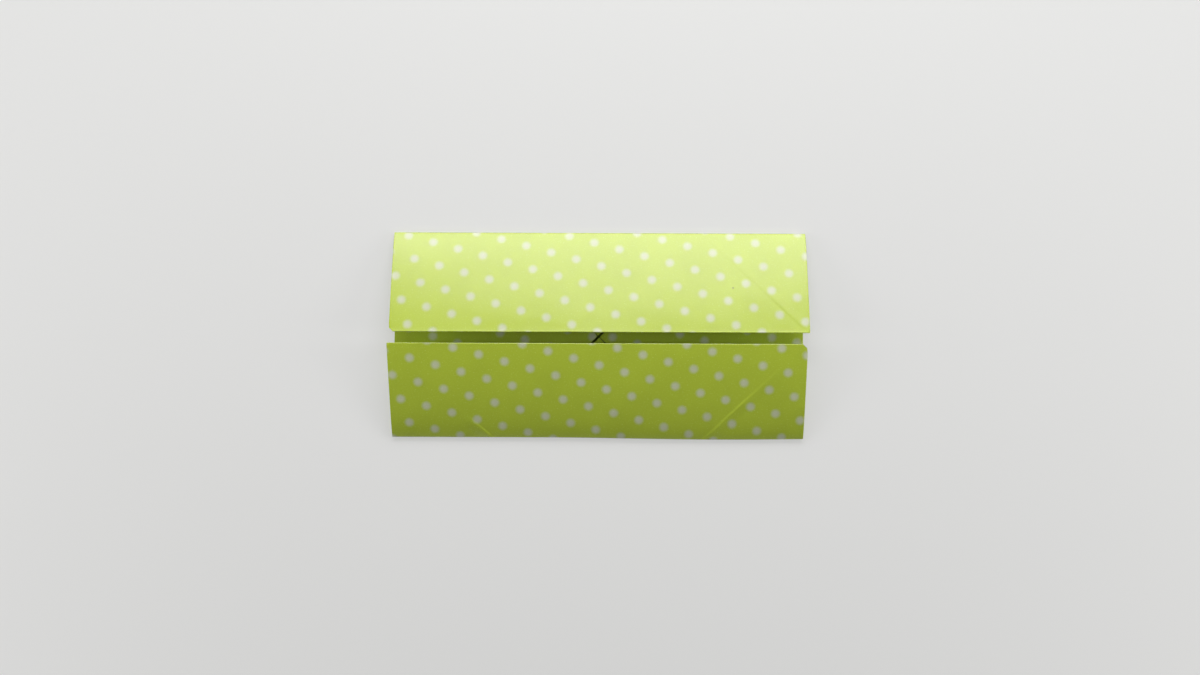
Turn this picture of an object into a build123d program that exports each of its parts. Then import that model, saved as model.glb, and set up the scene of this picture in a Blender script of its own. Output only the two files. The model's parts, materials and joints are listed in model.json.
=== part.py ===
from build123d import *
import math
import os

# Origami box, part folded: a square sheet whose four corners are folded in to its centre, and whose back and
# front sides are then folded over towards the middle, where they stand a little open as two long flaps.
# Lengths are in millimetres and angles in degrees. +X runs along the creases, +Y to the back, +Z up.

# The sheet and the air that a hand-made fold leaves
sheet_side = 150.0
paper = 0.10
layer_gap = 0.10
crease_gap = 0.20

# Where the flaps turn, how far they stand open and how their free edges meet
back_rise_angle = 17.2
front_rise_angle = 18.1
flap_offset = 0.60
closing_gap = 0.15

# The seams where the folded corners meet, and the flaps' two blunt corners
seam_width = 0.25
meeting_y = -0.60
back_blunt_corner = 1.15
front_blunt_corner = 1.30
pinch_width = 0.60

# Clearances of a crease while its flap swings
press_clearance = 0.06
turning_clearance = 0.06

# A panel is two layers of paper, joined by a round fold at each end
square_side = sheet_side / math.sqrt(2)
panel = 2 * paper + layer_gap
inner_layer_cut = paper + layer_gap / 2

# A crease wraps the panel round an axis that lies half a crease gap above the base
bend_inner = crease_gap / 2
bend_outer = bend_inner + panel
outer_layer_radius = bend_outer - paper / 2
outer_layer_arc = math.pi * outer_layer_radius

# The outer layer runs unbroken from one free edge, under the base, to the other
flaps_together = (square_side + 4 * bend_outer - 2 * outer_layer_arc - closing_gap) / 2
back_length = flaps_together / 2 + flap_offset
front_length = flaps_together / 2 - flap_offset
bend_y = (square_side - flaps_together + 2 * bend_outer - 2 * outer_layer_arc) / 2


def pivot_reach(rise):
    """Distance from the middle of a crease out to the axis that its flap turns on."""
    to_lie_flat = outer_layer_arc / 2
    to_press_shut = (crease_gap - press_clearance) / math.sin(math.radians(rise))
    return min(to_lie_flat, to_press_shut)


def pivot_height(rise):
    """Height of that axis, halfway in angle between the base and the flap."""
    return bend_outer - pivot_reach(rise) * math.tan(math.radians(rise / 2))


def crease_slit(rise):
    """Width of the slit that lets the foot of a crease swing past the edge of the base."""
    reach = pivot_reach(rise)
    return math.hypot(reach, pivot_height(rise)) - reach + turning_clearance


def seam_at_crease(run_on_base, length):
    """Distance from the middle to a seam, on a straight line from the meeting point to the flap's corner."""
    run_on_flap = outer_layer_arc + length - bend_outer
    return square_side / 2 * run_on_base / (run_on_base + run_on_flap)


def seam_on_base(seam_x, y, run_on_base):
    """Distance from the middle to the same seam, where it lies on the base at y."""
    return seam_x * abs(y - meeting_y) / run_on_base


def stack_section(width, height):
    """Upright section across a panel, with round folds at both ends, standing on z = 0."""
    return Plane.XZ * Pos(0, panel / 2) * SlotOverall(width, height)


def seam_cut(start, end):
    """Straight cut through the inner layer alone, between two points of a panel that lies flat."""
    run = Vector(*end) - Vector(*start)
    middle = (Vector(*start) + Vector(*end)) / 2
    angle = math.degrees(math.atan2(run.Y, run.X))
    depth = panel - inner_layer_cut + paper
    cut = Box(run.length + seam_width, seam_width, depth, align=(Align.CENTER, Align.CENTER, Align.MIN))
    return Pos(middle.X, middle.Y, inner_layer_cut) * Rot(0, 0, angle) * cut


def long_panel(width, height, back_end, front_end):
    """Solid of a stack section drawn out along Y between two ends."""
    section = stack_section(width, height)
    return Pos(0, back_end, 0) * extrude(section, back_end - front_end, dir=(0, -1, 0))


def free_edge_limit(height, free_end):
    """Solid that rounds a panel's free edge in the same way as its ends."""
    straight = free_end - height / 2
    block = Box(2 * square_side, straight, height, align=(Align.CENTER, Align.MIN, Align.CENTER))
    round_edge = Pos(0, straight, 0) * Rot(0, 90, 0) * Cylinder(height / 2, 2 * square_side)
    return Pos(0, 0, panel / 2) * (block + round_edge)


def make_flap(length, rise, run_on_base, blunt_corner):
    """Back flap with its crease, as it stands at rest. The front flap is the same, turned half round."""
    panel_length = length - bend_outer
    folded_angle = 180 - rise
    half_width = square_side / 2
    seam_x = seam_at_crease(run_on_base, length)

    # The panel is drawn flat, with its printed outer layer below and its crease at y = 0
    outer = long_panel(square_side, panel, panel_length, 0) & free_edge_limit(panel, panel_length)
    hollow = long_panel(square_side - 2 * paper, layer_gap, panel_length, 0)
    hollow &= free_edge_limit(layer_gap, panel_length - paper)
    flat = outer - hollow
    for side in (-1, 1):
        flat -= seam_cut((side * seam_x, 0), (side * half_width, panel_length))

    # The corner of the sheet's raw edge shows as a blunt corner on one side
    corner = Pos(-half_width, panel_length, panel / 2) * Rot(0, 0, 45)
    flat -= corner * Box(4 * blunt_corner, math.sqrt(2) * blunt_corner, 2 * panel)

    # The crease carries both layers round, with the same round ends and the same seams
    section = stack_section(square_side, panel) - stack_section(square_side - 2 * paper, layer_gap)
    for side in (-1, 1):
        slot = Plane.XZ * Pos(side * seam_x, panel) * Rectangle(seam_width, panel - paper)
        section -= slot
    crease_axis = Axis((0, 0, bend_outer), (1, 0, 0))
    crease = revolve(section, crease_axis, folded_angle)

    flap = crease + flat.rotate(crease_axis, folded_angle)
    return Pos(0, bend_y, 0) * flap


def make_base(back_run, front_run):
    """The panel that lies on the table, with the X of seams in its inner layer."""
    back_end = bend_y - crease_slit(back_rise_angle)
    front_end = crease_slit(front_rise_angle) - bend_y
    back_seam = seam_at_crease(back_run, back_length)
    front_seam = seam_at_crease(front_run, front_length)

    outer = long_panel(square_side, panel, back_end, front_end)
    hollow = long_panel(square_side - 2 * paper, layer_gap, back_end, front_end)

    # The tips of the back and front corners end at the creases, pressed down on the outer layer
    tips = ((back_end, -1, back_seam, back_run), (front_end, 1, front_seam, front_run))
    for end, inward, seam_x, run in tips:
        half_pinch = seam_on_base(seam_x, end + inward * pinch_width, run) - seam_width
        pinch = Box(2 * half_pinch, 2 * pinch_width, layer_gap)
        hollow -= Pos(0, end, panel / 2) * pinch

    base = outer - hollow
    for side in (-1, 1):
        base -= seam_cut((0, meeting_y), (side * back_seam, bend_y))
        base -= seam_cut((0, meeting_y), (side * front_seam, -bend_y))
    return base


back_run = bend_y - meeting_y
front_run = bend_y + meeting_y
parts = {
    "base_panel": make_base(back_run, front_run),
    "back_flap": make_flap(back_length, back_rise_angle, back_run, back_blunt_corner),
    "front_flap": Rot(0, 0, 180) * make_flap(front_length, front_rise_angle, front_run, front_blunt_corner),
}

os.makedirs("parts", exist_ok=True)
for name, solid in parts.items():
    export_step(solid, f"parts/{name}.step")

# Where each flap turns, and the slit under its crease
for name, rise, side in (("back", back_rise_angle, 1), ("front", front_rise_angle, -1)):
    axis_y = side * (bend_y + pivot_reach(rise))
    print(f"{name} axis: y {axis_y:.4f}, z {pivot_height(rise):.4f}, slit {crease_slit(rise):.4f}")
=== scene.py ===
"""Origami box, part folded: one square of printed paper with its corners folded in to the centre and its
back and front sides folded over, where they stand a little open."""

import json
import math

import bpy
from bpy.props import FloatProperty, FloatVectorProperty, IntProperty, PointerProperty
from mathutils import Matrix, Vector


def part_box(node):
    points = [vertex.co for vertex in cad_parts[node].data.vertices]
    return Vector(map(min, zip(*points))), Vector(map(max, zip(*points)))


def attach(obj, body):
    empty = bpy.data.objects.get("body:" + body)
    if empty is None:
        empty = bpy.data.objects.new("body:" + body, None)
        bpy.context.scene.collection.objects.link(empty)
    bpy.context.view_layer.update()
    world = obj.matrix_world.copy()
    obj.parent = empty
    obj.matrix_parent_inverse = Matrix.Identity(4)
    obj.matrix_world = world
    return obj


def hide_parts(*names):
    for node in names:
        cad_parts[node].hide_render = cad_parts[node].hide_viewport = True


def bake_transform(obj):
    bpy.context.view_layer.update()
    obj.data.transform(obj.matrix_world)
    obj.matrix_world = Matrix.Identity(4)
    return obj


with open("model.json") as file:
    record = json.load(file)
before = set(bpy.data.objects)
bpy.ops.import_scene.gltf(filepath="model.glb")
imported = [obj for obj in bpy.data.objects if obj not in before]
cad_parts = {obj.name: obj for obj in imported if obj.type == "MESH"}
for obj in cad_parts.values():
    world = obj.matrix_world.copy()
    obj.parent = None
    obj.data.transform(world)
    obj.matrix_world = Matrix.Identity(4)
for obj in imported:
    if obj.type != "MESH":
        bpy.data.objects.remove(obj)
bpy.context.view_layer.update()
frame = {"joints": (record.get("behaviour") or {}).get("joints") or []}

bl_info = {
    "name": "Part-Folded Origami Box",
    "version": (1, 0, 0),
    "blender": (4, 5, 0),
    "location": "3D View > Sidebar > Origami Box",
    "description": "Folds a square of printed paper into an origami box with its flaps standing open",
    "category": "Add Mesh",
}

MM = 0.001
SIDES = {"back": 1, "front": -1}
HINGES = {j["child"].replace("_flap", ""): j for j in frame["joints"]}

# Read from the solids: the base's box, and how far the creases reach from the middle
BASE_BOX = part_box("base_panel")
CREASE_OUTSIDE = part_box("back_flap")[1].y


def rise(side):
    """Angle at which a flap stands at rest, read from its hinge."""
    return math.radians(-HINGES[side]["range_deg"][0])


def length(name, default, description):
    """Property that holds a length in metres."""
    return FloatProperty(
        name=name, description=description, default=default, subtype="DISTANCE", unit="LENGTH", precision=5)


def angle(name, default, description):
    """Property that holds an angle."""
    return FloatProperty(
        name=name, description=description, default=default, subtype="ANGLE", unit="ROTATION")


def share(name, default, description):
    """Property that runs from 0 to 1."""
    return FloatProperty(
        name=name, description=description, default=default, min=0, max=1, subtype="FACTOR")


def colour(name, default, description):
    """Property that holds a colour."""
    return FloatVectorProperty(
        name=name, description=description, default=default, size=3, min=0, max=1, subtype="COLOR")


def power(name, default, description):
    """Property that holds the power of a light."""
    return FloatProperty(
        name=name, description=description, default=default, min=0, subtype="POWER", unit="POWER")


class OrigamiSheet(bpy.types.PropertyGroup):
    """Sizes of the sheet, and the small errors of folding it by hand."""

    square_side: length(
        "Folded Square", BASE_BOX[1].x - BASE_BOX[0].x,
        "Side of the square once its corners are folded in")
    paper: length("Paper", 0.10 * MM, "Thickness of the paper")
    layer_gap: length("Layer Gap", 0.10 * MM, "Air between the two layers of a panel")
    crease_gap: length("Crease Gap", 0.20 * MM, "Air inside the creases of the flaps")
    back_rise: angle("Back Rise", rise("back"), "How far the back flap stands open")
    front_rise: angle("Front Rise", rise("front"), "How far the front flap stands open")
    flap_offset: length(
        "Flap Offset", 0.60 * MM,
        "How much longer the back flap is than half of both, and the front one shorter")
    meeting: length(
        "Meeting Point", -0.32 * MM,
        "Where the four folded corners meet, from the middle of the base")
    slip: length(
        "Inner Layer Slip", 0.60 * MM,
        "How far the inner layer is pushed to the front by its creases")
    slip_run: length(
        "Slip Run", 8 * MM,
        "Distance from a folded edge over which the inner layer starts to slip")

    seam_back_left: length(
        "Back Left Seam", 0.04 * MM, "Gap between the back and left corners at the middle")
    seam_back_right: length(
        "Back Right Seam", 0.56 * MM, "Gap between the back and right corners at the middle")
    seam_front_left: length(
        "Front Left Seam", 0.60 * MM, "Gap between the front and left corners at the middle")
    seam_front_right: length(
        "Front Right Seam", 0.20 * MM, "Gap between the front and right corners at the middle")
    blunt_back_left: length(
        "Back Left Corner", 1.15 * MM, "How far the raw edge cuts this corner of the square")
    blunt_back_right: length(
        "Back Right Corner", 0.16 * MM, "How far the raw edge cuts this corner of the square")
    blunt_front_left: length(
        "Front Left Corner", 0.16 * MM, "How far the raw edge cuts this corner of the square")
    blunt_front_right: length(
        "Front Right Corner", 1.30 * MM, "How far the raw edge cuts this corner of the square")

    tip_lift: length("Tip Lift", 0.38 * MM, "How far the folded corners spring up at their tips")
    waist: length("Waist", 0.23 * MM, "How much the base narrows on each side at its middle")
    lean: length("Lean", 0.19 * MM, "How far the base's ends run to the right at the back crease")
    back_drift: length(
        "Back Drift", -0.04 * MM, "How far the back flap runs on to the right from its crease")
    front_drift: length(
        "Front Drift", -0.19 * MM, "How far the front flap runs on to the right from its crease")
    spring: length("Spring", 0.55 * MM, "How far the flaps bulge up close to their creases")
    spring_run: length("Spring Run", 3 * MM, "Distance from a crease over which its flap straightens")
    back_bow: length("Back Bow", 0.10 * MM, "How far the back flap bulges up at half its length")
    front_bow: length("Front Bow", 0.10 * MM, "How far the front flap bulges up at half its length")
    ripple: length("Ripple", 0.16 * MM, "Height of the uneven waves of the flaps")
    front_curve: length(
        "Front Curve", 0.60 * MM,
        "How far the front flap curves outwards, as relief that takes no room")
    crease_bulge: length("Crease Bulge", 0.42 * MM, "How far the front crease wanders outwards")
    bulge_place: length("Bulge Place", 30 * MM, "Where along the front crease it wanders most")
    seed: IntProperty(name="Seed", description="Picks the pattern of the waves", default=4, min=0)
    spacing: length("Mesh Spacing", 1.3 * MM, "Distance between the mesh's lines where the paper is flat")


class OrigamiPrint(bpy.types.PropertyGroup):
    """Colours of the paper and the layout of its printed dots."""

    ground: colour("Ground", (0.540, 0.675, 0.058), "Colour of the printed ground")
    dot: colour("Dot", (0.68, 0.725, 0.49), "Colour of the printed dots")
    # The reverse is tinted green by the dye soaked through it, and darkened further as painted shade: it
    # shows only through the seams, where its dark colour stands in for their shadow.
    reverse: colour(
        "Reverse", (0.24, 0.30, 0.04),
        "Colour of the unprinted side, which the dye has soaked through to")
    raw_edge: colour("Raw Edge", (0.68, 0.74, 0.44), "Colour of the paper where it is cut or cracked")
    speck: colour("Speck", (0.17, 0.20, 0.03), "Colour of the one dark fleck in the print")
    dot_width: length("Dot Width", 1.98 * MM, "Width of a printed dot")
    dot_softness: length("Dot Softness", 1.25 * MM, "Width over which a dot's rim fades")
    dot_spacing: length(
        "Dot Spacing", 6.505 * MM,
        "Distance between the dots of a row, which runs along a side of the sheet")
    row_spacing: length("Row Spacing", 5.849 * MM, "Distance between the rows, which are staggered")
    first_dot: FloatVectorProperty(
        name="First Dot", description="Place of one dot, from the middle of the flat sheet",
        default=(-4.161 * MM, -1.308 * MM), size=2, subtype="XYZ_LENGTH", unit="LENGTH", precision=5)
    wear: share("Wear", 0.5, "How much ink the folds have lost")
    shine: share("Shine", 0.80, "How strongly the printed side mirrors light, where 0.5 is plain ink")
    gloss_roughness: share("Roughness", 0.25, "Roughness of the printed side")


class OrigamiStage(bpy.types.PropertyGroup):
    """The floor, the soft light and the camera."""

    floor: colour("Floor", (0.80, 0.80, 0.79), "Colour of the floor and the backdrop")
    shading: share(
        "Floor Shading", 0.45, "How much of its light and shadow the floor shows close to the box")
    shading_reach: length(
        "Shading Reach", 0.45, "Distance from the box at which the floor has faded into the backdrop")
    key_power: power("Key", 1.30, "Power of the soft light behind the box")
    key_width: length("Key Width", 0.46, "Width of the soft light behind the box")
    key_height: length("Key Height", 0.26, "Height of the soft light behind the box")
    key_place: FloatVectorProperty(
        name="Key Place", description="Where the soft light hangs", default=(0.020, 0.284, 0.228), size=3,
        subtype="XYZ_LENGTH", unit="LENGTH", precision=3)
    side_power: power("Sides", 0.56, "Power of each light at the box's ends")
    side_width: length("Side Width", 0.12, "Width of the lights at the box's ends, across the slot")
    side_length: length("Side Length", 0.20, "Length of the lights at the box's ends")
    side_reach: length("Side Reach", 0.40, "How far out those two lights hang")
    side_height: length("Side Height", 0.20, "How high those two lights hang")
    fill: share("Fill", 0.03, "Strength of the light from all round")
    ceiling: share(
        "Ceiling", 0.05, "How pale the surroundings look overhead, where the floor's paleness is 1")
    camera_height: length("Camera Height", 0.300, "Height of the camera above the floor")


# How far in from the creases the sheet is divided into its pieces
PANEL_CUT = 1.5 * MM


def folding_sizes(sheet):
    """Sizes that follow from the sheet's own, in metres."""
    panel = 2 * sheet.paper + sheet.layer_gap
    crease_axis = sheet.crease_gap / 2 + panel
    outer_radius = crease_axis - sheet.paper / 2
    fold_arc = math.pi * (sheet.paper + sheet.layer_gap) / 2
    crease_start = CREASE_OUTSIDE - crease_axis
    return {
        "half": sheet.square_side / 2,
        "layer": sheet.paper / 2,
        "fold_axis": sheet.paper + sheet.layer_gap / 2,
        "fold_arc": fold_arc,
        "fold_start": sheet.square_side / 2 - fold_arc / 2,
        "crease_axis": crease_axis,
        "crease_arc": math.pi * outer_radius,
        "crease_start": crease_start,
        "cut": crease_start - PANEL_CUT,
    }


# The flat sheet, with u across it and v up it, both from its middle

# Distances of the extra lines of the mesh before and after each fold
GUARDS = (0.08 * MM, 0.45 * MM)

# Steps of the mesh round a folded corner, and round the outer and the inner layer of a flap's crease
CORNER_STEPS = 8
OUTER_STEPS = 17
INNER_STEPS = 11

# Share of the mesh's spacing that is left free beside a raw edge
EDGE_MARGIN = 0.2

# Width under which a row of the mesh is one point, and distance under which two of its places are one
POINT_WIDTH = 1e-7
SAME_PLACE = 1e-8

# Halvings that find a corner's tip, more than enough for a number's last digit
HALVINGS = 60


def raw_edge_at(v, sheet, side_x):
    """Place of the left raw edge (side_x -1) or the right one (side_x 1) at height v of the flat sheet."""
    half = sheet.square_side / 2
    name = "left" if side_x < 0 else "right"
    reach = []
    for end, side_y in (("back", 1), ("front", -1)):
        inset = getattr(sheet, f"seam_{end}_{name}") / math.sqrt(2)
        blunt = getattr(sheet, f"blunt_{end}_{name}") / 2
        side_tip = (sheet.meeting, 2 * half - inset)
        corner = (side_y * (half - blunt), half - blunt)
        end_tip = (side_y * 2 * half - sheet.meeting, -inset)
        before_corner = side_y * (v - corner[0]) < 0
        (v0, u0), (v1, u1) = (side_tip, corner) if before_corner else (corner, end_tip)
        reach.append(u0 + (u1 - u0) * (v - v0) / (v1 - v0))
    return side_x * min(reach)


def grid_lines(low, high, spacing, folds):
    """Places of a grid's lines from low to high, with close lines across each fold (start, width, steps)."""
    count = math.ceil((high - low) / spacing)
    lines = [low + (high - low) * i / count for i in range(count + 1)]
    clear = 1.5 * GUARDS[1]
    for start, width, steps in folds:
        lines = [x for x in lines if not start - clear < x < start + width + clear]
        lines += [start + width * i / steps for i in range(steps + 1)]
        lines += [start - guard for guard in GUARDS]
        lines += [start + width + guard for guard in GUARDS]
    return sorted(x for x in lines if low <= x <= high)


def apex(sheet, low, high, side):
    """Height of the flat sheet, between low and high, where its raw edges meet in a corner."""
    for _ in range(HALVINGS):
        middle = (low + high) / 2
        open_there = raw_edge_at(middle, sheet, 1) > raw_edge_at(middle, sheet, -1)
        if open_there == (side > 0):
            low = middle
        else:
            high = middle
    return (low + high) / 2


def flat_rows(sheet, low, high, folds_u, folds_v):
    """Rows of points across the flat sheet between two heights, cut off at its raw edges."""
    half = sheet.square_side / 2
    columns = grid_lines(-2 * half, 2 * half, sheet.spacing, folds_u)
    heights = grid_lines(low, high, sheet.spacing, folds_v)
    if low < sheet.meeting < high:
        heights = sorted(heights + [sheet.meeting])
    rows = []
    for v in heights:
        left, right = raw_edge_at(v, sheet, -1), raw_edge_at(v, sheet, 1)
        if right - left < POINT_WIDTH:
            rows.append([((left + right) / 2, v)])
            continue
        margin = min(EDGE_MARGIN * sheet.spacing, (right - left) / 4)
        inside = [(u, v) for u in columns if left + margin < u < right - margin]
        rows.append([(left, v)] + inside + [(right, v)])
    return rows


def weave(rows, points, faces):
    """Joins each row of points to the next with faces whose printed side is turned down."""
    starts = []
    for row in rows:
        starts.append(len(points))
        points.extend(row)
    for k in range(len(rows) - 1):
        near, far = rows[k], rows[k + 1]
        i, j = 0, 0
        while i < len(near) - 1 or j < len(far) - 1:
            here, there = starts[k] + i, starts[k + 1] + j
            more_near = i < len(near) - 1
            more_far = j < len(far) - 1
            if more_near and more_far and abs(near[i + 1][0] - far[j + 1][0]) < SAME_PLACE:
                faces.append((here, there, there + 1, here + 1))
                i += 1
                j += 1
            elif more_near and (not more_far or near[i + 1][0] < far[j + 1][0]):
                faces.append((here, there, here + 1))
                i += 1
            else:
                faces.append((here, there, there + 1))
                j += 1


def flat_piece(name, sheet, regions):
    """Flat mesh of the sheet between pairs of heights, with the sheet's own coordinates as its UV map."""
    sizes = folding_sizes(sheet)
    half, start = sizes["half"], sizes["crease_start"]
    fold_arc, arc = sizes["fold_arc"], sizes["crease_arc"]
    shift = sheet.flap_offset
    run = arc + shift
    corner_folds = [
        (sizes["fold_start"], fold_arc, CORNER_STEPS),
        (-sizes["fold_start"] - fold_arc, fold_arc, CORNER_STEPS),
    ]
    crease_folds = [
        (start - shift, run, OUTER_STEPS),
        (-(start + shift) - arc, run, OUTER_STEPS),
        (2 * half - start - arc, arc, INNER_STEPS),
        (-2 * half + start, arc, INNER_STEPS),
    ]
    points, faces = [], []
    for low, high in regions:
        weave(flat_rows(sheet, low, high, corner_folds, corner_folds + crease_folds), points, faces)
    mesh = bpy.data.meshes.new(name)
    mesh.from_pydata([(u, v, 0) for u, v in points], [], faces)
    uv = mesh.uv_layers.new(name="sheet")
    for loop in mesh.loops:
        u, v = points[loop.vertex_index]
        uv.data[loop.index].uv = (u / (4 * half) + 0.5, v / (4 * half) + 0.5)
    mesh.update()
    return mesh


# The folding, as a tree of geometry nodes


class Wiring:
    """Adds nodes to a tree and joins them, so that a formula can be written from left to right."""

    def __init__(self, tree):
        self.tree = tree

    def node(self, kind, values=(), **settings):
        """New node with its settings and the values of its inputs."""
        made = self.tree.nodes.new(kind)
        for key, value in settings.items():
            setattr(made, key, value)
        items = values.items() if isinstance(values, dict) else enumerate(values)
        for key, value in items:
            self.put(made.inputs[key], value)
        return made

    def put(self, socket, value):
        """Joins an input to another node's output, or sets its value."""
        if isinstance(value, bpy.types.NodeSocket):
            self.tree.links.new(value, socket)
        else:
            socket.default_value = value

    def math(self, operation, *values, clamp=False):
        return self.node("ShaderNodeMath", values, operation=operation, use_clamp=clamp).outputs[0]

    def add(self, a, b):
        return self.math("ADD", a, b)

    def take(self, a, b):
        return self.math("SUBTRACT", a, b)

    def times(self, a, b):
        return self.math("MULTIPLY", a, b)

    def over(self, a, b):
        return self.math("DIVIDE", a, b)

    def either(self, first, a, b):
        """Value a where first is 1, and b where it is 0."""
        return self.add(self.times(first, a), self.times(self.take(1.0, first), b))

    def vector(self, operation, *values):
        """Vector that a vector operation gives."""
        return self.node("ShaderNodeVectorMath", values, operation=operation).outputs["Vector"]

    def measure(self, operation, *values):
        """Number that a vector operation gives."""
        return self.node("ShaderNodeVectorMath", values, operation=operation).outputs["Value"]

    def scaled(self, vector, factor):
        """Vector or colour times a number."""
        values = {0: vector, "Scale": factor}
        return self.node("ShaderNodeVectorMath", values, operation="SCALE").outputs["Vector"]

    def split(self, vector):
        return self.node("ShaderNodeSeparateXYZ", [vector]).outputs

    def join(self, x, y, z):
        return self.node("ShaderNodeCombineXYZ", [x, y, z]).outputs[0]

    def ramp(self, value, low, high, to_low=0.0, to_high=1.0, smooth=True):
        """Runs from to_low to to_high as the value runs from low to high, and stays level beyond."""
        kind = "SMOOTHSTEP" if smooth else "LINEAR"
        values = [value, low, high, to_low, to_high]
        return self.node("ShaderNodeMapRange", values, interpolation_type=kind).outputs[0]

    def bump_at(self, value, place, width):
        """1 at a place, falling smoothly to 0 a width away on both sides."""
        away = self.math("ABSOLUTE", self.take(value, place))
        return self.ramp(away, 0.0, width, 1.0, 0.0)

    def arch(self, along):
        """0 at both ends of a run from 0 to 1, and 1 at half of it."""
        return self.times(self.times(along, self.take(1.0, along)), 4.0)


FOLD_INPUTS = ("Distance", "Height", "Start", "Paper Taken Up", "Angle", "Axis Height")

# Pattern of the flaps' ripple, with its scale in waves to the metre
RIPPLE_WAVES = {"Scale": 58.0, "Detail": 1.0, "Roughness": 0.4}

# How sharply the folded corners turn up towards their tips
TIP_POWER = 3.0

# The front crease's wander: how far it is felt along the crease, and in from it, in metres
WANDER_WIDTH = 0.045
WANDER_DEPTH = 0.006

# Edges of the folded paper that turn by more than this are shown sharp
SHARP_ANGLE = math.radians(40)


def named_input(tree, name, kind="NodeSocketFloat", subtype=None):
    """Adds an input to a node group."""
    socket = tree.interface.new_socket(name=name, in_out="INPUT", socket_type=kind)
    if subtype:
        socket.subtype = subtype


def fold_over_group():
    """Node group that carries a point of the sheet round a fold, from its distance and height."""
    tree = bpy.data.node_groups.new("Fold Over", "GeometryNodeTree")
    for name in FOLD_INPUTS:
        named_input(tree, name)
    for name in ("Distance", "Height"):
        tree.interface.new_socket(name=name, in_out="OUTPUT", socket_type="NodeSocketFloat")
    w = Wiring(tree)
    given = tree.nodes.new("NodeGroupInput").outputs
    past = w.take(given["Distance"], given["Start"])
    turned = w.times(w.math("DIVIDE", past, given["Paper Taken Up"], clamp=True), given["Angle"])
    before = w.math("MINIMUM", past, 0.0)
    beyond = w.math("MAXIMUM", w.take(past, given["Paper Taken Up"]), 0.0)
    radius = w.take(given["Axis Height"], given["Height"])
    sine, cosine = w.math("SINE", turned), w.math("COSINE", turned)
    along = w.add(w.times(radius, sine), w.times(beyond, cosine))
    up = w.take(w.times(beyond, sine), w.times(radius, cosine))
    result = tree.nodes.new("NodeGroupOutput")
    w.put(result.inputs["Distance"], w.add(w.add(given["Start"], before), along))
    w.put(result.inputs["Height"], w.add(given["Axis Height"], up))
    return tree


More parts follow.
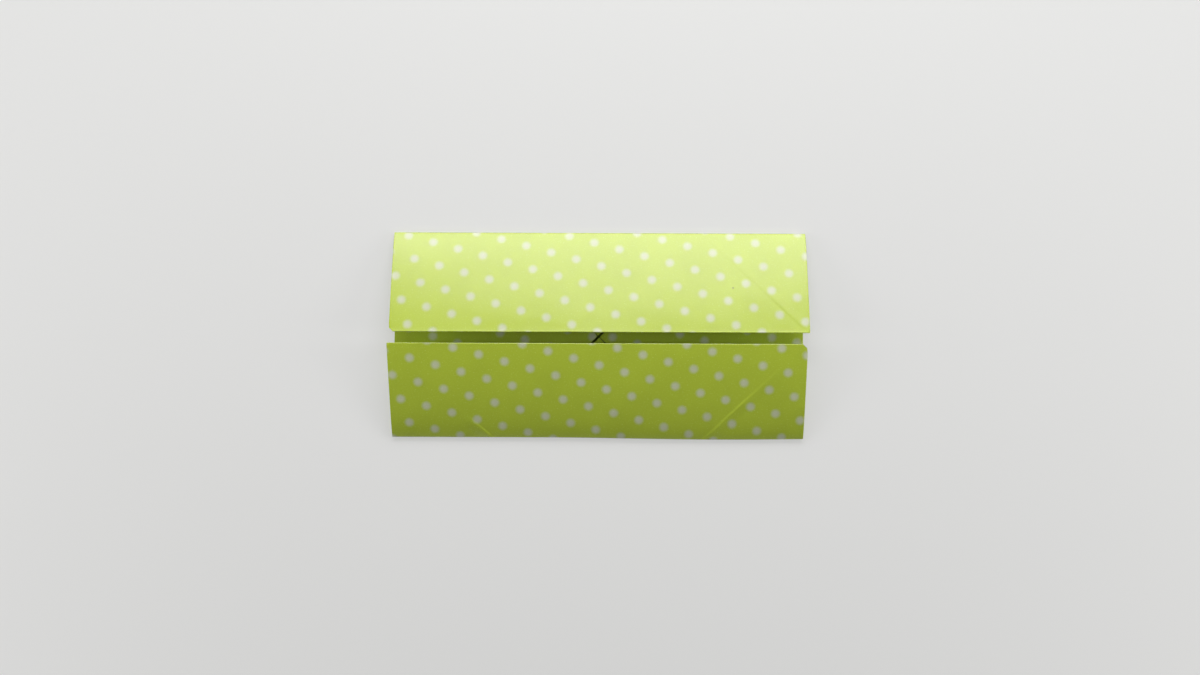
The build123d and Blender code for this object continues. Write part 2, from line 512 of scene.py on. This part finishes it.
def folding_tree(fold_over):
    """Geometry Nodes tree that folds a flat piece of the sheet: corners in, then the flaps over."""
    tree = bpy.data.node_groups.new("Fold the Sheet", "GeometryNodeTree")
    named_input(tree, "Geometry", "NodeSocketGeometry")
    for name in (
        "Fold Start", "Fold Paper", "Fold Axis", "Layer", "Half Square", "Slip", "Slip Run", "Tip Lift",
        "Flap Offset", "Crease Start", "Crease Paper", "Crease Axis", "Waist", "Lean", "Back Drift",
        "Front Drift", "Spring", "Spring Run", "Back Bow", "Front Bow", "Ripple", "Crease Bulge",
        "Bulge Place",
    ):
        named_input(tree, name, subtype="DISTANCE")
    for name in ("Back Fold", "Front Fold"):
        named_input(tree, name, subtype="ANGLE")
    named_input(tree, "Seed", "NodeSocketInt")
    named_input(tree, "Printed Side", "NodeSocketMaterial")
    tree.interface.new_socket(name="Geometry", in_out="OUTPUT", socket_type="NodeSocketGeometry")

    w = Wiring(tree)
    given = tree.nodes.new("NodeGroupInput").outputs

    def fold(*values):
        made = w.node("GeometryNodeGroup", node_tree=fold_over)
        for key, value in zip(FOLD_INPUTS, values):
            w.put(made.inputs[key], value)
        return made.outputs["Distance"], made.outputs["Height"]

    def by_side(is_back, back, front):
        values = {"Switch": is_back, "False": front, "True": back}
        return w.node("GeometryNodeSwitch", values, input_type="FLOAT").outputs[0]

    u, v = w.split(w.node("GeometryNodeInputPosition").outputs[0])[:2]
    across, away = w.math("ABSOLUTE", u), w.math("ABSOLUTE", v)
    is_back = w.math("GREATER_THAN", v, 0.0)
    side = w.add(w.times(is_back, 2.0), -1.0)

    # The corners are folded in at the left and right, then at the back and front
    corner = (given["Fold Start"], given["Fold Paper"], math.pi, given["Fold Axis"])
    x, z = fold(across, given["Layer"], *corner)
    y, z = fold(away, z, *corner)
    x = w.times(x, w.math("SIGN", u))
    y = w.times(y, side)

    # The folded corners slip on the layer below them, and spring up towards their tips
    folded_in = w.take(w.math("MAXIMUM", across, away), given["Half Square"])
    slipped = w.times(w.ramp(folded_in, 0.0, given["Slip Run"]), given["Slip"])
    y = w.take(w.add(y, given["Flap Offset"]), slipped)
    tip = w.ramp(folded_in, 0.0, given["Half Square"])
    z = w.add(z, w.times(w.math("POWER", tip, TIP_POWER), given["Tip Lift"]))

    # Distance from the middle, then along the flap from its crease
    out = w.times(y, side)
    flap_start = w.add(given["Crease Start"], given["Crease Paper"])
    flap_run = w.take(given["Half Square"], flap_start)
    on_base = w.math("DIVIDE", out, given["Crease Start"], clamp=True)
    on_flap = w.math("DIVIDE", w.take(out, flap_start), flap_run, clamp=True)

    # The ends of the panels are a little narrow at the waist, and lean as the sheet was laid
    narrowed = w.times(w.take(1.0, w.times(on_base, on_base)), given["Waist"])
    x = w.times(x, w.take(1.0, w.over(narrowed, given["Half Square"])))
    drift = by_side(is_back, given["Back Drift"], given["Front Drift"])
    x = w.add(x, w.add(w.times(w.times(on_base, side), given["Lean"]), w.times(on_flap, drift)))

    # The flaps bow and ripple, and spring up close to their creases
    bow = by_side(is_back, given["Back Bow"], given["Front Bow"])
    wave_place = {"Vector": w.join(x, out, 0.0), "W": w.add(given["Seed"], side)}
    waves = w.node("ShaderNodeTexNoise", {**wave_place, **RIPPLE_WAVES}, noise_dimensions="4D").outputs[0]
    uneven = w.times(w.times(w.add(waves, -0.5), 2.0), w.times(given["Ripple"], on_flap))
    past_crease = w.math("MAXIMUM", w.take(out, flap_start), 0.0)
    straightened = w.take(1.0, w.math("EXPONENT", w.times(w.over(past_crease, given["Spring Run"]), -1.0)))
    sprung = w.times(w.times(straightened, w.take(1.0, on_flap)), given["Spring"])
    z = w.take(z, w.add(w.add(w.times(bow, w.arch(on_flap)), sprung), uneven))

    # The flaps are folded over
    turn = by_side(is_back, given["Back Fold"], given["Front Fold"])
    out, z = fold(out, z, given["Crease Start"], given["Crease Paper"], turn, given["Crease Axis"])

    # The front crease wanders outwards where the seam below it crosses
    near_crease = w.ramp(w.take(given["Crease Start"], out), 0.0, WANDER_DEPTH, 1.0, 0.0)
    along_crease = w.bump_at(x, given["Bulge Place"], WANDER_WIDTH)
    wander = w.times(along_crease, w.times(given["Crease Bulge"], near_crease))
    out = w.add(out, w.times(wander, w.take(1.0, is_back)))

    place = w.join(x, w.times(out, side), z)
    placed = w.node("GeometryNodeSetPosition", {"Geometry": given["Geometry"], "Position": place})
    smooth = w.node("GeometryNodeSetShadeSmooth", {"Geometry": placed.outputs[0]})
    real = w.node("GeometryNodeRealizeInstances", {"Geometry": smooth.outputs[0]})
    dressing = {"Geometry": real.outputs[0], "Material": given["Printed Side"]}
    dressed = w.node("GeometryNodeSetMaterial", dressing)
    w.put(tree.nodes.new("NodeGroupOutput").inputs[0], dressed.outputs[0])
    return tree


def set_input(modifier, name, value):
    """Sets a modifier's input by its socket's identifier."""
    for item in modifier.node_group.interface.items_tree:
        if item.item_type == "SOCKET" and item.in_out == "INPUT" and item.name == name:
            modifier[item.identifier] = value
            return
    raise KeyError(f"the folding tree has no input named {name}")


def fold_piece(name, sheet, regions, finishes):
    """Folds a flat piece, gives it its thickness and returns it as a plain mesh object."""
    sizes = folding_sizes(sheet)
    flat = flat_piece(name, sheet, regions)
    for finish in finishes:
        flat.materials.append(finish)
    piece = bpy.data.objects.new(name, flat)
    bpy.context.scene.collection.objects.link(piece)

    folding = piece.modifiers.new("Folding", "NODES")
    folding.node_group = bpy.data.node_groups.get("Fold the Sheet") or folding_tree(fold_over_group())
    values = {
        "Fold Start": sizes["fold_start"], "Fold Paper": sizes["fold_arc"], "Fold Axis": sizes["fold_axis"],
        "Layer": sizes["layer"], "Half Square": sizes["half"], "Crease Start": sizes["crease_start"],
        "Crease Paper": sizes["crease_arc"], "Crease Axis": sizes["crease_axis"],
        "Slip": sheet.slip, "Slip Run": sheet.slip_run, "Tip Lift": sheet.tip_lift,
        "Flap Offset": sheet.flap_offset, "Waist": sheet.waist, "Lean": sheet.lean,
        "Back Drift": sheet.back_drift, "Front Drift": sheet.front_drift,
        "Spring": sheet.spring, "Spring Run": sheet.spring_run,
        "Back Bow": sheet.back_bow, "Front Bow": sheet.front_bow, "Ripple": sheet.ripple,
        "Crease Bulge": sheet.crease_bulge, "Bulge Place": sheet.bulge_place,
        "Back Fold": math.pi - sheet.back_rise, "Front Fold": math.pi - sheet.front_rise,
        "Seed": sheet.seed, "Printed Side": finishes[0],
    }
    for key, value in values.items():
        set_input(folding, key, value)

    thickness = piece.modifiers.new("Paper", "SOLIDIFY")
    thickness.thickness = sheet.paper
    thickness.offset = 0
    thickness.use_quality_normals = True
    thickness.material_offset = 1
    thickness.material_offset_rim = 2

    bpy.context.view_layer.update()
    graph = bpy.context.evaluated_depsgraph_get()
    solid = bpy.data.meshes.new_from_object(piece.evaluated_get(graph), depsgraph=graph)
    piece.modifiers.clear()
    piece.data = solid
    bpy.data.meshes.remove(flat)
    solid.name = name
    solid.set_sharp_from_angle(angle=SHARP_ANGLE)
    return piece


# The finishes, whose places and heights are in millimetres of the flat sheet

# Half the width of the worn line on a folded edge, and on a flap's crease
EDGE_WEAR = 0.34
CREASE_WEAR = 0.6

# The dark fleck: its place, and how far out it is darkest and gone
SPECK_PLACE = (33.88, 41.24, 0.0)
SPECK_RADII = (0.12, 0.34)

# The small wrinkle: where it starts on the front flap's end, where it stops, and its height at the start
WRINKLE_START = (53.0, -37.4)
WRINKLE_END = (48.2, -35.5)
WRINKLE_HEIGHT = 0.07

# Heights of the paper's relief
FIBRE_HEIGHT = 0.006
GRAIN_HEIGHT = 0.004
WAVE_HEIGHT = 0.02
PLAIN_GRAIN_HEIGHT = 0.012


def new_finish(name):
    """New material with one shader, and the wiring to add to it."""
    finish = bpy.data.materials.new(name)
    finish.use_nodes = True
    finish.node_tree.nodes.clear()
    w = Wiring(finish.node_tree)
    shader = w.node("ShaderNodeBsdfPrincipled")
    w.put(w.node("ShaderNodeOutputMaterial").inputs["Surface"], shader.outputs[0])
    return finish, w, shader


def sheet_position(w, sheet):
    """Place on the flat sheet in millimetres, from the middle of the sheet."""
    uv = w.node("ShaderNodeUVMap", uv_map="sheet").outputs[0]
    return w.scaled(w.vector("SUBTRACT", uv, (0.5, 0.5, 0.0)), 2 * sheet.square_side / MM)


def noise(w, place, scale, detail=2.0, roughness=0.5):
    """Uneven pattern round 0.5, with its scale in lumps to the millimetre."""
    values = {"Vector": place, "Scale": scale, "Detail": detail, "Roughness": roughness}
    return w.node("ShaderNodeTexNoise", values).outputs[0]


def mix_colour(w, factor, a, b):
    """Colour a, turning to b as the factor goes from 0 to 1."""
    made = w.node("ShaderNodeMix", data_type="RGBA")
    for socket, value in ((made.inputs[0], factor), (made.inputs[6], a), (made.inputs[7], b)):
        if not isinstance(value, bpy.types.NodeSocket) and socket.type == "RGBA":
            value = (*value[:3], 1.0)
        w.put(socket, value)
    return made.outputs[2]


def dot_mask(w, place, look):
    """1 on the printed dots, which stand on a slanted lattice, with slightly uneven rims."""
    diagonal = 1 / math.sqrt(2)
    half_dot, row = look.dot_spacing / MM / 2, look.row_spacing / MM
    ax, ay = (row + half_dot) * diagonal, (row - half_dot) * diagonal
    bx, by = ay, ax
    area = ax * by - ay * bx
    offset = w.vector("SUBTRACT", place, (look.first_dot[0] / MM, look.first_dot[1] / MM, 0.0))
    near = []
    for step in ((by / area, -bx / area, 0.0), (-ay / area, ax / area, 0.0)):
        count = w.measure("DOT_PRODUCT", offset, step)
        near.append(w.take(w.math("FRACT", w.add(count, 0.5)), 0.5))
    x = w.add(w.times(near[0], ax), w.times(near[1], bx))
    y = w.add(w.times(near[0], ay), w.times(near[1], by))
    apart = w.math("SQRT", w.add(w.times(x, x), w.times(y, y)))
    rim_wander = 0.22
    rim = w.times(w.take(noise(w, place, scale=1.6, detail=3.0), 0.5), rim_wander)
    radius = look.dot_width / MM / 2
    soft = look.dot_softness / MM / 2
    return w.ramp(w.add(apart, rim), radius - soft, radius + soft, 1.0, 0.0)


def fold_lines(w, place, sheet):
    """How near a point is to a fold of the sheet, 1 on the line itself."""
    sizes = folding_sizes(sheet)
    u, v = w.split(place)[:2]
    across, away = w.math("ABSOLUTE", u), w.math("ABSOLUTE", v)
    half = sizes["half"] / MM
    edges = w.math("MAXIMUM", w.bump_at(across, half, EDGE_WEAR), w.bump_at(away, half, EDGE_WEAR))
    middle = (sizes["crease_start"] + sizes["crease_arc"] / 2) / MM
    offset = sheet.flap_offset / MM
    back = w.bump_at(v, middle - offset, CREASE_WEAR)
    front = w.bump_at(v, -middle - offset, CREASE_WEAR)
    on_outer = w.math("LESS_THAN", w.math("MAXIMUM", across, away), half)
    creases = w.times(w.math("MAXIMUM", back, front), on_outer)
    return w.math("MAXIMUM", edges, creases)


def seam_mark(w, place, sheet):
    """Height that the raw edges inside press into the flaps' outer layer, along their diagonals."""
    short_slope, long_slope = 1.0, 3.5
    edge_margin = 0.4
    flap_from, flap_full = 26.9, 27.3
    front_height = 0.155
    back_right, back_left = 0.018, 0.008

    u, v = w.split(place)[:2]
    across, away = w.math("ABSOLUTE", u), w.math("ABSOLUTE", v)
    beside = w.take(across, away)
    rising, falling = w.ramp(beside, -short_slope, 0.0), w.ramp(beside, 0.0, long_slope, 1.0, 0.0)
    ridge = w.math("MINIMUM", rising, falling)
    outer_edge = sheet.square_side / 2 / MM - edge_margin
    on_outer = w.math("LESS_THAN", w.math("MAXIMUM", across, away), outer_edge)
    on_flap = w.ramp(away, flap_from, flap_full)
    front = w.math("LESS_THAN", v, 0.0)
    right = w.math("GREATER_THAN", u, 0.0)

    # The two marks of the front flap fade towards its free edge, the left one early
    front_right = w.ramp(away, 37.0, 50.0, to_low=front_height, to_high=0.030)
    front_left = w.ramp(away, 30.0, 34.0, to_low=front_height, to_high=0.016)
    of_front = w.either(right, front_right, front_left)
    height = w.either(front, of_front, w.either(right, back_right, back_left))
    return w.times(w.times(ridge, height), w.times(on_outer, on_flap))


def front_curve(w, place, sheet):
    """Height of the front flap's gentle curve from its crease to its free edge."""
    sizes = folding_sizes(sheet)
    away = w.times(w.split(place)[1], -1.0)
    crease = (sizes["crease_start"] + sheet.flap_offset) / MM
    along = w.ramp(away, crease, sizes["half"] / MM, smooth=False)
    return w.times(w.arch(along), sheet.front_curve / MM)


def small_wrinkle(w, place):
    """Height of a short wrinkle that runs in from the end of the front flap, highest at its start."""
    foot, crest, far_foot = -0.4, 0.8, 3.4
    run = Vector(WRINKLE_END) - Vector(WRINKLE_START)
    along, beside = run.normalized(), Vector((run.y, -run.x)).normalized()
    local = w.vector("SUBTRACT", place, (*WRINKLE_START, 0.0))
    way_in = w.measure("DOT_PRODUCT", local, (*along, 0.0))
    way_off = w.measure("DOT_PRODUCT", local, (*beside, 0.0))
    height = w.ramp(way_in, 0.0, run.length, WRINKLE_HEIGHT, 0.0)
    rising, falling = w.ramp(way_off, foot, crest), w.ramp(way_off, crest, far_foot, 1.0, 0.0)
    return w.times(height, w.math("MINIMUM", rising, falling))


def printed_side(sheet, look):
    """Printed paper: a soft-edged dot pattern on an inked ground, with the ink broken along the folds."""
    finish, w, shader = new_finish("printed paper")
    place = sheet_position(w, sheet)

    # Ink that lies a little unevenly, over fibres that run one way
    cloud = noise(w, place, scale=0.10, detail=3.0, roughness=0.55)
    grain = noise(w, place, scale=2.6, detail=4.0, roughness=0.6)
    stretched = {"Vector": place, "Rotation": (0, 0, 0.7), "Scale": (1.0, 5.0, 1.0)}
    fibre_place = w.node("ShaderNodeMapping", stretched).outputs[0]
    fibres = noise(w, fibre_place, scale=1.5, detail=5.0, roughness=0.65)
    from_cloud = w.ramp(cloud, 0.3, 0.7, to_low=0.97, to_high=1.03, smooth=False)
    from_grain = w.ramp(grain, 0.2, 0.8, to_low=-0.035, to_high=0.035, smooth=False)
    from_fibres = w.ramp(fibres, 0.25, 0.75, to_low=-0.025, to_high=0.025, smooth=False)
    light = w.add(w.add(from_cloud, from_grain), from_fibres)
    ground, dots = w.scaled(tuple(look.ground), light), w.scaled(tuple(look.dot), light)
    inked = mix_colour(w, dot_mask(w, place, look), ground, dots)

    # Ink cracked off the folds, in broken specks
    fold_pull = 0.55
    crack_from, crack_full = 0.93, 1.10
    flakes = noise(w, place, scale=3.2, detail=4.0, roughness=0.7)
    cracked = w.add(w.times(fold_lines(w, place, sheet), fold_pull), flakes)
    lost = w.ramp(cracked, crack_from, crack_full, 0.0, look.wear)
    worn = mix_colour(w, lost, inked, look.raw_edge)

    # The one dark fleck
    darkest = 0.75
    speck = w.ramp(w.measure("DISTANCE", place, SPECK_PLACE), *SPECK_RADII, darkest, 0.0)
    w.put(shader.inputs["Base Color"], mix_colour(w, speck, worn, look.speck))

    # Shine, duller where ink is lost
    smoother, rougher, dulled = 0.04, 0.05, 0.2
    lowest, highest = look.gloss_roughness - smoother, look.gloss_roughness + rougher
    rough = w.ramp(grain, 0.2, 0.8, to_low=lowest, to_high=highest, smooth=False)
    w.put(shader.inputs["Roughness"], w.add(rough, w.times(lost, dulled)))
    shader.inputs["Specular IOR Level"].default_value = look.shine

    # Fibres, faint waves, the pressed-through seams, the front flap's curve and the wrinkle as relief
    relief = w.add(w.times(fibres, FIBRE_HEIGHT), w.times(grain, GRAIN_HEIGHT))
    relief = w.add(relief, w.times(noise(w, place, scale=0.35), WAVE_HEIGHT))
    relief = w.add(relief, seam_mark(w, place, sheet))
    relief = w.add(relief, front_curve(w, place, sheet))
    relief = w.add(relief, small_wrinkle(w, place))
    bump = w.node("ShaderNodeBump", {"Strength": 1.0, "Distance": MM, "Height": relief})
    w.put(shader.inputs["Normal"], bump.outputs[0])
    return finish


def plain_side(name, tint, sheet, roughness):
    """Unprinted paper with fine fibres."""
    finish, w, shader = new_finish(name)
    grain = noise(w, sheet_position(w, sheet), scale=2.2, detail=4.0, roughness=0.6)
    light = w.ramp(grain, 0.2, 0.8, to_low=0.96, to_high=1.03, smooth=False)
    w.put(shader.inputs["Base Color"], w.scaled(tuple(tint), light))
    shader.inputs["Roughness"].default_value = roughness
    relief = w.times(grain, PLAIN_GRAIN_HEIGHT)
    bump = w.node("ShaderNodeBump", {"Strength": 1.0, "Distance": MM, "Height": relief})
    w.put(shader.inputs["Normal"], bump.outputs[0])
    return finish


def paper_finishes(context):
    """The paper's three finishes: printed side, reverse (tinted by the soaked-through dye and darkened
    further as painted shade for the seams) and raw edge, made once.
    """
    sheet, look = context.scene.origami_sheet, context.scene.origami_print
    made = [bpy.data.materials.get(n) for n in ("printed paper", "soaked reverse", "raw edge")]
    if all(made):
        return made
    return [
        printed_side(sheet, look),
        # The reverse's dark colour is painted shade for the seams it shows through, on top of the dye's
        # tint.
        plain_side("soaked reverse", look.reverse, sheet, roughness=0.7),
        plain_side("raw edge", look.raw_edge, sheet, roughness=0.85),
    ]


# The stage's floor, surroundings and lights, in metres

# Half the side of the floor, and how far it lies under the base, which clears the opened flaps' bulge
FLOOR_REACH = 3.0
FLOOR_DROP = 0.46 * MM

# Distance from the middle of the box up to which the floor shows the most light and shadow
FLOOR_NEAR = 0.08

# How steeply a ray climbs, where straight up is 1, when the surroundings start to dim and are dimmest
PALE_UP_TO = 0.18
DIM_FROM = 0.45

# Point that the lights are turned to
LIT_POINT = Vector((0, 0, 0.004))

# The camera: its lens and sensor in millimetres, what it sees from and to, its place beside the middle of
# the box and its roll
LENS = 34.8
SENSOR = 36.0
SEEN_FROM = 0.01
SEEN_TO = 20.0
CAMERA_X = 0.32 * MM
CAMERA_Y = -0.56 * MM
CAMERA_ROLL = math.radians(0.22)


def seen_directly(w):
    """1 for what the camera sees, straight, in a reflection or through glass, and 0 for light on its way."""
    path = w.node("ShaderNodeLightPath").outputs
    seen = w.math("MAXIMUM", path["Is Camera Ray"], path["Is Glossy Ray"])
    return w.math("MAXIMUM", seen, path["Is Transmission Ray"])


def pale_floor(stage):
    """Matt floor that keeps the box's shadow and fades into the backdrop further out."""
    finish, w, shader = new_finish("pale floor")
    shader.inputs["Base Color"].default_value = (*stage.floor, 1)
    shader.inputs["Roughness"].default_value = 0.9
    shader.inputs["Specular IOR Level"].default_value = 0.1
    away = w.measure("LENGTH", w.node("ShaderNodeTexCoord").outputs["Object"])
    even = w.ramp(away, FLOOR_NEAR, stage.shading_reach, 1 - stage.shading, 1.0)
    glow = w.node("ShaderNodeEmission", {"Color": (*stage.floor, 1), "Strength": 1.0}).outputs[0]
    factor = w.times(seen_directly(w), even)
    mixed = w.node("ShaderNodeMixShader", [factor, shader.outputs[0], glow]).outputs[0]
    output = next(n for n in w.tree.nodes if n.type == "OUTPUT_MATERIAL")
    w.put(output.inputs["Surface"], mixed)
    return finish


def pale_surroundings(stage):
    """World that looks as pale as the floor, dimmer overhead, and lights the box only faintly."""
    world = bpy.data.worlds.new("pale surroundings")
    world.use_nodes = True
    world.node_tree.nodes.clear()
    w = Wiring(world.node_tree)
    height = w.split(w.node("ShaderNodeTexCoord").outputs["Generated"])[2]
    pale = w.ramp(height, PALE_UP_TO, DIM_FROM, 1.0, stage.ceiling)
    strength = w.add(stage.fill, w.times(seen_directly(w), w.take(pale, stage.fill)))
    glow = w.node("ShaderNodeBackground", {"Color": (*stage.floor, 1), "Strength": strength})
    w.put(w.node("ShaderNodeOutputWorld").inputs["Surface"], glow.outputs[0])
    return world


def hang_light(scene, name, place, size, watts, mirrored):
    """Hangs a soft oval light, turned to the box, that shows in its shine only where it is mirrored."""
    lamp = bpy.data.lights.new(name, "AREA")
    lamp.shape = "ELLIPSE"
    lamp.size, lamp.size_y = size
    lamp.energy = watts
    light = bpy.data.objects.new(name, lamp)
    light.location = place
    light.visible_glossy = mirrored
    light.rotation_mode = "QUATERNION"
    light.rotation_quaternion = (LIT_POINT - Vector(place)).to_track_quat("-Z", "Y")
    scene.collection.objects.link(light)


# The operators, one for each step of the build


class ORIGAMI_OT_base_sheet(bpy.types.Operator):
    """Fold the middle of the sheet, which lies on the table with the tips of its corners on it"""

    bl_idname = "origami.base_sheet"
    bl_label = "Base"

    def execute(self, context):
        sheet = context.scene.origami_sheet
        sizes = folding_sizes(sheet)
        half, cut = sizes["half"], sizes["cut"]
        full = 2 * half
        back_cut, front_cut = cut - sheet.flap_offset, cut + sheet.flap_offset
        regions = [
            (-front_cut, back_cut),
            (full - cut, apex(sheet, full - cut, full + half, 1)),
            (apex(sheet, -full - half, -full + cut, -1), -full + cut),
        ]
        piece = fold_piece("base_sheet", sheet, regions, paper_finishes(context))
        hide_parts("base_panel")
        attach(piece, "base")
        return {"FINISHED"}


class ORIGAMI_OT_flap_sheets(bpy.types.Operator):
    """Fold the back and front flaps, each with the crease that it turns on"""

    bl_idname = "origami.flap_sheets"
    bl_label = "Flaps"

    def execute(self, context):
        sheet = context.scene.origami_sheet
        sizes = folding_sizes(sheet)
        full, cut = 2 * sizes["half"], sizes["cut"]
        for side, sign in SIDES.items():
            inner = cut - sign * sheet.flap_offset
            region = sorted((sign * inner, sign * (full - cut)))
            piece = fold_piece(f"{side}_flap_sheet", sheet, [region], paper_finishes(context))
            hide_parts(f"{side}_flap")
            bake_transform(piece)
        return {"FINISHED"}


class ORIGAMI_OT_stage(bpy.types.Operator):
    """Set the pale floor, the soft light and the camera straight above the box"""

    bl_idname = "origami.stage"
    bl_label = "Stage"

    def execute(self, context):
        stage = context.scene.origami_stage
        scene = context.scene
        scene.view_settings.view_transform = "Standard"

        corners = ((-1, -1), (1, -1), (1, 1), (-1, 1))
        points = [(x * FLOOR_REACH, y * FLOOR_REACH, -FLOOR_DROP) for x, y in corners]
        mesh = bpy.data.meshes.new("floor")
        mesh.from_pydata(points, [], [(0, 1, 2, 3)])
        floor = bpy.data.objects.new("floor", mesh)
        scene.collection.objects.link(floor)
        mesh.materials.append(pale_floor(stage))
        scene.world = pale_surroundings(stage)

        key_size = (stage.key_width, stage.key_height)
        hang_light(scene, "soft light", stage.key_place, key_size, stage.key_power, mirrored=True)
        end_size = (stage.side_width, stage.side_length)
        for name, sign in (("left light", -1), ("right light", 1)):
            place = (sign * stage.side_reach, 0, stage.side_height)
            hang_light(scene, name, place, end_size, stage.side_power, mirrored=False)

        lens = bpy.data.cameras.new("camera")
        lens.sensor_width = SENSOR
        lens.lens = LENS
        lens.clip_start = SEEN_FROM
        lens.clip_end = SEEN_TO
        camera = bpy.data.objects.new("camera", lens)
        camera.location = (CAMERA_X, CAMERA_Y, stage.camera_height)
        camera.rotation_euler = (0, 0, CAMERA_ROLL)
        scene.collection.objects.link(camera)
        scene.camera = camera
        return {"FINISHED"}


class ORIGAMI_PT_panel(bpy.types.Panel):
    """Lists the pieces of the box and their settings"""

    bl_label = "Origami Box"
    bl_idname = "ORIGAMI_PT_panel"
    bl_space_type = "VIEW_3D"
    bl_region_type = "UI"
    bl_category = "Origami Box"

    def draw(self, context):
        groups = (("Sheet", "origami_sheet"), ("Print", "origami_print"), ("Stage", "origami_stage"))
        for label, group in groups:
            box = self.layout.box()
            box.label(text=label)
            settings = getattr(context.scene, group)
            for key in settings.bl_rna.properties.keys():
                if key not in ("rna_type", "name"):
                    box.prop(settings, key)
        for operator in (ORIGAMI_OT_base_sheet, ORIGAMI_OT_flap_sheets, ORIGAMI_OT_stage):
            self.layout.operator(operator.bl_idname)


CLASSES = (
    OrigamiSheet, OrigamiPrint, OrigamiStage,
    ORIGAMI_OT_base_sheet, ORIGAMI_OT_flap_sheets, ORIGAMI_OT_stage, ORIGAMI_PT_panel,
)


def register():
    for cls in CLASSES:
        bpy.utils.register_class(cls)
    bpy.types.Scene.origami_sheet = PointerProperty(type=OrigamiSheet)
    bpy.types.Scene.origami_print = PointerProperty(type=OrigamiPrint)
    bpy.types.Scene.origami_stage = PointerProperty(type=OrigamiStage)


def unregister():
    for name in ("origami_stage", "origami_print", "origami_sheet"):
        delattr(bpy.types.Scene, name)
    for cls in reversed(CLASSES):
        bpy.utils.unregister_class(cls)


def main():
    register()
    bpy.ops.origami.base_sheet()
    bpy.ops.origami.flap_sheets()
    bpy.ops.origami.stage()


if __name__ == "__main__":
    main()
